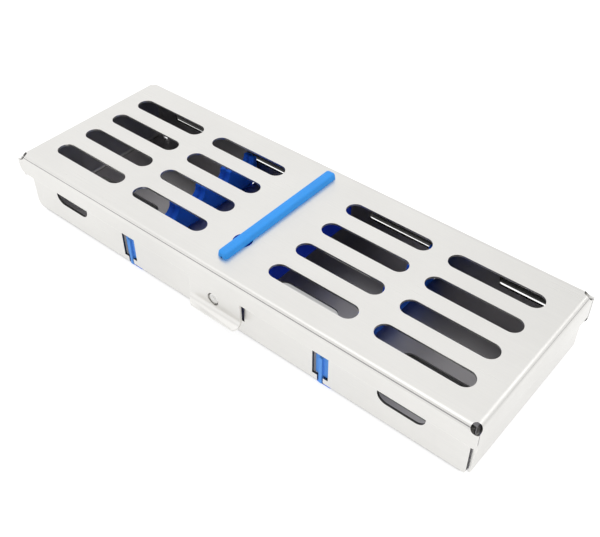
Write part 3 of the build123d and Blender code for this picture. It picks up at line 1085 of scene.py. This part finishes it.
@dataclass
class Hinge:
    """Butt hinge rolled from sheet: a leaf on the lid, a leaf on the tray, and a pin."""

    side: Side
    middle: float = 0.95
    reach: float = 58.6
    width: float = 20.0
    sheet: float = 0.7
    axis: Pair = (37.0, 13.6)
    roll: Pair = (1.33, 1.15)
    lid_face: float = 35.3
    tray_face: float = 33.8
    lid_knuckle: float = 7.6
    gap: float = 0.25
    clearance: float = 1.7
    lid_top: float = 23.2
    tray_bottom: float = 4.4
    joggle: float = 1.8
    corner: float = 1.6
    pin_radius: float = 0.75
    pin_head: Pair = (0.4, 1.15)
    pin_flat: float = 0.55
    pin_round: float = 0.25
    play: float = 0.02

    @property
    def x(self) -> float:
        """Middle of the hinge along X."""
        return self.middle + self.side.value * self.reach

    def build(self, finishes: Finishes) -> None:
        """Build both leaves and the pin.

        Args:
            finishes: The cassette's materials.
        """
        word = self.side.word
        for body in (Body.LID, Body.TRAY):
            self.leaf(body, finishes)
        start = self.x - self.width / 2
        end, (head, radius), bend = start + self.width, self.pin_head, self.pin_round
        pin = [(start - head, 0.0), (start - head, self.pin_flat)]
        pin += arc_profile(start - head + bend, radius - bend, bend, 180, 90)
        pin += [(start - self.play, radius), (start - self.play, self.pin_radius),
                (end + self.play, self.pin_radius), (end + self.play, radius)]
        pin += arc_profile(end + head - bend, radius - bend, bend, 90, 0)
        pin += [(end + head, self.pin_flat), (end + head, 0.0)]
        shells = Shells(word + "_pin")
        shells.add(revolved(pin, (0.0, *self.axis), 0, 28))
        placed(shells.mesh(), Body.TRAY, Slot.TURNED, finishes.turned, word + "_hinge_pin")

    def knuckle(self, upwards: bool) -> np.ndarray:
        """Middle line of a knuckle, rolled round the pin from the leaf's side.

        The point at an angle a round the pin is the axis plus a radius times (cos a, sin a); the
        radius eases from the leaf's distance to the rolled one over the first quarter turn.

        Args:
            upwards: Whether the strip comes from below and rolls over the pin.

        Returns:
            Points in (y, z).
        """
        turned = np.linspace(0, radians(285), 30)
        eased = np.clip(turned / (pi / 2), 0, 1)
        radius = self.roll[0] + (self.roll[1] - self.roll[0]) * eased ** 2 * (3 - 2 * eased)
        angle = pi - turned if upwards else pi + turned
        return np.stack([self.axis[0] + radius * np.cos(angle),
                         self.axis[1] + radius * np.sin(angle)], axis=1)

    def lid_path(self) -> np.ndarray:
        """Middle line of the lid's leaf, from its upper edge down and round the pin.

        Returns:
            Points in (y, z).
        """
        y = self.lid_face + self.sheet / 2
        edge = self.lid_top - self.corner * (1 - np.cos(np.linspace(0, pi / 2, 7)))
        flat = np.linspace(edge[-1], self.axis[1] + self.clearance, 7)[1:]
        strip = np.linspace(flat[-1], self.axis[1], 5)[1:-1]
        heights = np.concatenate([edge, flat, strip])
        plate = np.stack([np.full(len(heights), y), heights], axis=1)
        return np.concatenate([plate, self.knuckle(False)])

    def tray_path(self) -> np.ndarray:
        """Middle line of the tray's leaf: up the wall, out by a smooth step, and over the pin.

        With t from 0 to 1 up the joggle, the step is its width times t^2 * (3 - 2t).

        Returns:
            Points in (y, z).
        """
        inner, outer = self.tray_face + self.sheet / 2, self.lid_face + self.sheet / 2
        high = self.axis[1] - self.clearance
        edge = self.tray_bottom + self.corner * (1 - np.cos(np.linspace(0, pi / 2, 7)))
        flat = np.linspace(edge[-1], high - self.joggle, 6)[1:-1]
        step = np.linspace(0, 1, 10)
        shift = inner + (outer - inner) * step ** 2 * (3 - 2 * step)
        rise = high - self.joggle + self.joggle * step
        strip = np.linspace(high, self.axis[1], 5)[1:-1]
        heights = np.concatenate([edge, flat, rise, strip])
        places = np.concatenate([np.full(len(edge) + len(flat), inner), shift,
                                 np.full(len(strip), outer)])
        return np.concatenate([np.stack([places, heights], axis=1), self.knuckle(True)])

    def leaf(self, body: Body, finishes: Finishes) -> None:
        """Build one leaf: full width up to the split, knuckle strips beyond it.

        The tray's leaf has the two outer knuckles and the lid's the one between them.

        Args:
            body: The body that it rides on, lid or tray.
            finishes: The cassette's materials.
        """
        outer = body is Body.TRAY
        path = self.tray_path() if outer else self.lid_path()
        split_z = self.axis[1] + (-self.clearance if outer else self.clearance)
        name = f"{self.side.word}_{body.value}_leaf"
        node = f"{self.side.word}_hinge_{body.value}_leaf"
        half = self.width / 2
        inner_half = self.lid_knuckle / 2 + (self.gap if outer else 0.0)
        walked = np.concatenate([[0.0], np.cumsum(np.linalg.norm(np.diff(path, axis=0), axis=1))])
        full = corner_width(walked, half, self.corner)
        lines = np.linspace(inner_half, half, 4)
        inside = np.linspace(-inner_half, inner_half, 7)
        marks = np.concatenate([-lines[::-1], inside[1:-1], lines])
        scale = np.where(np.abs(marks)[None] > inner_half,
                         (full[:, None] - inner_half) / (half - inner_half), 1.0)
        beyond = np.sign(marks) * (np.abs(marks) - inner_half)
        across = np.where(np.abs(marks)[None] > inner_half,
                          np.sign(marks) * inner_half + beyond * scale, marks)
        centres = np.abs((marks[:-1] + marks[1:]) / 2)
        in_middle = centres < inner_half
        split_row = int(np.argmin(np.abs(path[:, 1] - split_z)))
        beyond_split = np.arange(len(path) - 1) >= split_row
        strip = ~in_middle if outer else in_middle
        kept = ~beyond_split[:, None] | strip[None]
        made = placed(sheet_mesh(name, path, self.x + across, kept), body, Slot.SHEET,
                      finishes.hinge, node, smooth_angle=50.0)
        thickened(made, self.sheet)
        deburred(made, 0.07)


@dataclass
class Rivets:
    """A row of four rivets through hinge leaves and the wall behind, flush on its inner face."""

    body: Body
    z: float
    inner: float
    outer: float
    hinges: tuple[float, ...]
    spacing: float = 13.0
    shank: float = 1.04
    head: Pair = (0.6, 1.7)
    brim: float = 0.12

    def build(self, finishes: Finishes) -> None:
        """Turn one rivet's profile at four places; its head is half an ellipse above a brim.

        Args:
            finishes: The cassette's materials.
        """
        rise, radius = self.head
        lean = np.linspace(0, pi / 2, 8)
        dome = list(zip(self.outer + self.brim + (rise - self.brim) * np.cos(lean),
                        radius * np.sin(lean)))
        profile = dome + [(self.outer, radius), (self.outer, self.shank),
                          (self.inner, self.shank), (self.inner, 0.0)]
        shells = Shells(self.body.value + "_rivets")
        for hinge in self.hinges:
            for end in (-1, 1):
                centre = (hinge + end * self.spacing / 2, 0.0, self.z)
                shells.add(revolved(profile, centre, 1, 28))
        made = placed(shells.mesh(), self.body, Slot.TURNED, finishes.turned,
                      self.body.value + "_hinge_rivets")
        # Painted shade: faces flush with the wall's inner face take the dark turned steel.
        made.data.materials.append(finishes.dull_turned)
        finish_faces(made.data, face_centres(made.data)[:, 1] < self.inner + 0.01)


# ---- studio ----
@dataclass(frozen=True)
class Lamp:
    """A square soft lamp aimed at the origin: place and side in metres, power in watts."""

    name: str
    place: Triple
    size: float
    power: float

    def build(self) -> None:
        """Add the lamp to the scene."""
        data = bpy.data.lights.new(self.name, "AREA")
        data.shape = "SQUARE"
        data.size = self.size
        data.energy = self.power
        lamp = linked(self.name, data)
        lamp.location = self.place
        lamp.rotation_euler = (-Vector(self.place)).to_track_quat("-Z", "Y").to_euler()


@dataclass
class Studio:
    """White table, soft lamps, pale surroundings and the camera.

    eye and table_size are in metres, turn in degrees, lens and film in millimetres.
    """

    eye: Triple = (0.15570, -0.17545, 0.21681)
    turn: Triple = (47.5054, 0.0237, 39.8365)
    lens: float = 52.0
    film: float = 36.0
    table_size: float = 6.0
    sky: float = 0.86
    lamps: tuple[Lamp, ...] = (
        Lamp("overhead", (-0.11, -0.12, 0.95), 0.55, 0.76),
        Lamp("back left panel", (-1.08, 0.5, 1.07), 2.3, 2.97),
        Lamp("front left", (-0.80, -0.98, 0.42), 1.1, 1.14),
        Lamp("back right", (0.52, 0.70, 0.90), 0.45, 0.70),
    )

    def build(self) -> None:
        """Make table, world, lamps and camera."""
        self.make_table()
        self.make_world()
        for lamp in self.lamps:
            lamp.build()
        self.make_camera()
        bpy.context.scene.view_settings.view_transform = "Standard"

    def make_table(self) -> None:
        """A white table that keeps the cassette's soft shadow."""
        half = self.table_size / 2
        mesh = bpy.data.meshes.new("table")
        mesh.from_pydata([(-half, -half, 0), (half, -half, 0), (half, half, 0), (-half, half, 0)],
                         [], [(0, 1, 2, 3)])
        mesh.materials.append(WhiteTable().material())
        linked("table", mesh)

    def make_world(self) -> None:
        """Even pale surroundings, pure white where the camera looks at them."""
        t = NodeTree(bpy.data.worlds.new("studio"), "OutputWorld")
        seen = t.add("LightPath").outputs["Is Camera Ray"]
        level = t.ramp(seen, 0.0, 1.0, self.sky, 1.0)
        sky = t.add("Background", {"Color": WHITE, "Strength": level})
        bpy.context.scene.world = t.finished(sky)

    def make_camera(self) -> None:
        """Place the camera as the photograph's."""
        data = bpy.data.cameras.new("camera")
        data.sensor_width = self.film
        data.lens = self.lens
        data.clip_start = 0.01
        data.clip_end = 20.0
        camera = linked("camera", data)
        camera.location = self.eye
        camera.rotation_euler = tuple(radians(angle) for angle in self.turn)
        bpy.context.scene.camera = camera


def main() -> None:
    """Build the studio, then every piece of the cassette in order."""
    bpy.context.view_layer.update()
    finishes = Finishes()
    Studio().build()

    FoldedSheet("base_tray", Body.TRAY, (-98.3, -33.4, 2.0), (99.9, 33.6, 30.0), (-33.0, 33.2),
                0.8, 1.8).build(finishes)
    FoldedSheet("lid_pan", Body.LID, (-101.0, -34.7, 0.0), (101.0, 34.7, 25.6), (-40.0, 34.0),
                0.0, 26.3).build(finishes)
    for side in Side:
        Comb(side).build(finishes)
    HoldDown().build(finishes)
    Latch().build(finishes)
    hinges = [Hinge(side) for side in Side]
    for hinge in hinges:
        hinge.build(finishes)
    places = tuple(hinge.x for hinge in hinges)
    Rivets(Body.LID, 19.4, 34.5, 36.0, places).build(finishes)
    Rivets(Body.TRAY, 7.3, 33.0, 34.5, places).build(finishes)


if __name__ == "__main__":
    logging.basicConfig(level=logging.INFO, stream=sys.stdout)
    main()
